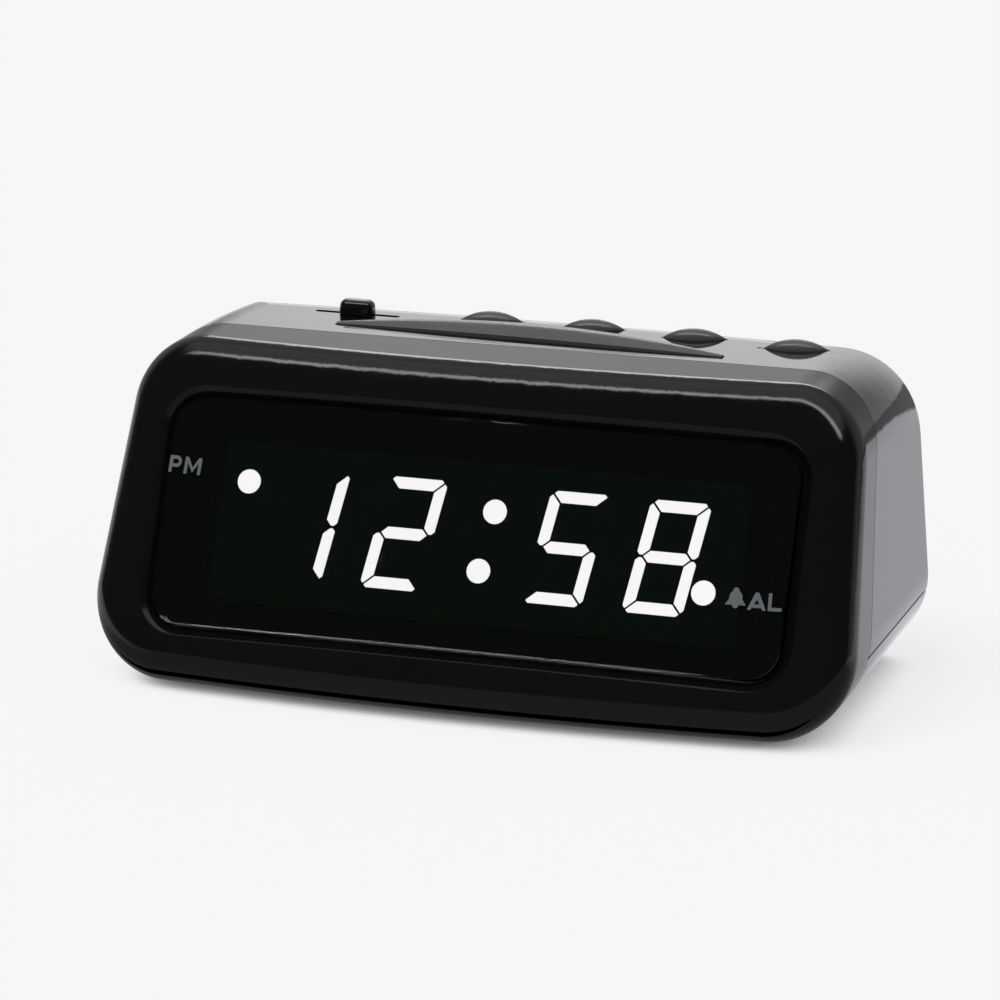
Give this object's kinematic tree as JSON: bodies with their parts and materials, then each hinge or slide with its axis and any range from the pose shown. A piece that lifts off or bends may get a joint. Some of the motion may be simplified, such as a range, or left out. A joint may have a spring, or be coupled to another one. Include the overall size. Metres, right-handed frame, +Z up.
{
  "type": "digital table clock",
  "caption": "Mains table clock with a leaning, bowed window front, lit segment digits, snooze bar, leaf-shaped press keys, sliding alarm knob, power inlet and sliding battery door.",
  "frame": {"origin": "on the table under the middle of the body, at the base of the rubber feet", "axes": "+X to the viewer's right across the front, +Y to the rear, +Z up"},
  "size_m": [0.1422, 0.0693, 0.063],
  "materials": {
    "case_plastic": "gloss black moulded",
    "control_plastic": "gloss black moulded, a shade greyer",
    "smoked_window": "polished smoked acrylic",
    "printed_ink": "slate grey print",
    "lit_filler": "white diffuser, lit",
    "unlit_filler": "dark diffuser, unlit",
    "housing_plastic": "matt black moulded",
    "light_chip": "phosphor over a die",
    "board": "green solder mask",
    "tinned_metal": "tinned",
    "screw_steel": "zinc plated",
    "chip_black": "moulded epoxy",
    "capacitor_sleeve": "shrunk sleeve",
    "crystal_can": "drawn can",
    "switch_body": "matt moulded",
    "switch_plunger": "matt moulded",
    "plug_plastic": "natural nylon",
    "cable_jacket": "grey jacket",
    "cell_sleeve": "printed label over a steel can",
    "sounder_plastic": "matt moulded",
    "foot_rubber": "matt rubber"
  },
  "bodies": {
    "casing": {"alarm_switch": "switch_body", "backup_cell_front": "cell_sleeve", "backup_cell_rear": "cell_sleeve", "base_tray": "case_plastic", "cable_plugs": "plug_plastic", "case_screws": "screw_steel", "cell_springs": "tinned_metal", "clock_chip": "chip_black", "contact_plates": "tinned_metal", "display_board": "board", "display_housing": "housing_plastic", "display_lens": "smoked_window", "display_pins": "tinned_metal", "driver_chip": "chip_black", "flat_cable": "cable_jacket", "front_bezel": "case_plastic", "hour_switch": "switch_body", "inlet_pin": "tinned_metal", "key_board": "board", "key_board_screws": "screw_steel", "lens_marks": "printed_ink", "light_chips": "light_chip", "lit_segments": "lit_filler", "main_board": "board", "main_board_screws": "screw_steel", "minute_switch": "switch_body", "power_inlet": "switch_body", "power_leads": "cable_jacket", "rubber_feet": "foot_rubber", "slide_switch": "switch_body", "smoothing_capacitor": "capacitor_sleeve", "snooze_switch": "switch_body", "sounder": "sounder_plastic", "time_switch": "switch_body", "timing_crystal": "crystal_can", "top_case": "case_plastic", "unlit_segments": "unlit_filler"},
    "snooze": {"snooze_bar": "control_plastic", "snooze_plunger": "switch_plunger"},
    "time_button": {"time_key": "control_plastic", "time_plunger": "switch_plunger"},
    "alarm_button": {"alarm_key": "control_plastic", "alarm_plunger": "switch_plunger"},
    "hour_button": {"hour_key": "control_plastic", "hour_plunger": "switch_plunger"},
    "minute_button": {"minute_key": "control_plastic", "minute_plunger": "switch_plunger"},
    "alarm_slider": {"alarm_knob": "control_plastic", "slide_switch_peg": "switch_plunger"},
    "cell_door": {"battery_door": "case_plastic"}
  },
  "joints": [
    {"name": "snooze_press", "type": "slide", "parent": "casing", "child": "snooze", "axis": [0, 0, -1], "range_m": [0, 0.0005], "stiffness_N_per_m": 3000},
    {"name": "time_button_press", "type": "slide", "parent": "casing", "child": "time_button", "axis": [0, 0, -1], "range_m": [0, 0.0005], "stiffness_N_per_m": 3000},
    {"name": "alarm_button_press", "type": "slide", "parent": "casing", "child": "alarm_button", "axis": [0, 0, -1], "range_m": [0, 0.0005], "stiffness_N_per_m": 3000},
    {"name": "hour_button_press", "type": "slide", "parent": "casing", "child": "hour_button", "axis": [0, 0, -1], "range_m": [0, 0.0005], "stiffness_N_per_m": 3000},
    {"name": "minute_button_press", "type": "slide", "parent": "casing", "child": "minute_button", "axis": [0, 0, -1], "range_m": [0, 0.0005], "stiffness_N_per_m": 3000},
    {"name": "alarm_slider_slide", "type": "slide", "parent": "casing", "child": "alarm_slider", "axis": [1, 0, 0], "range_m": [-0.004, 0.004]},
    {"name": "cell_door_slide", "type": "slide", "parent": "casing", "child": "cell_door", "axis": [0, 1, 0], "range_m": [0, 0.035]}
  ]
}
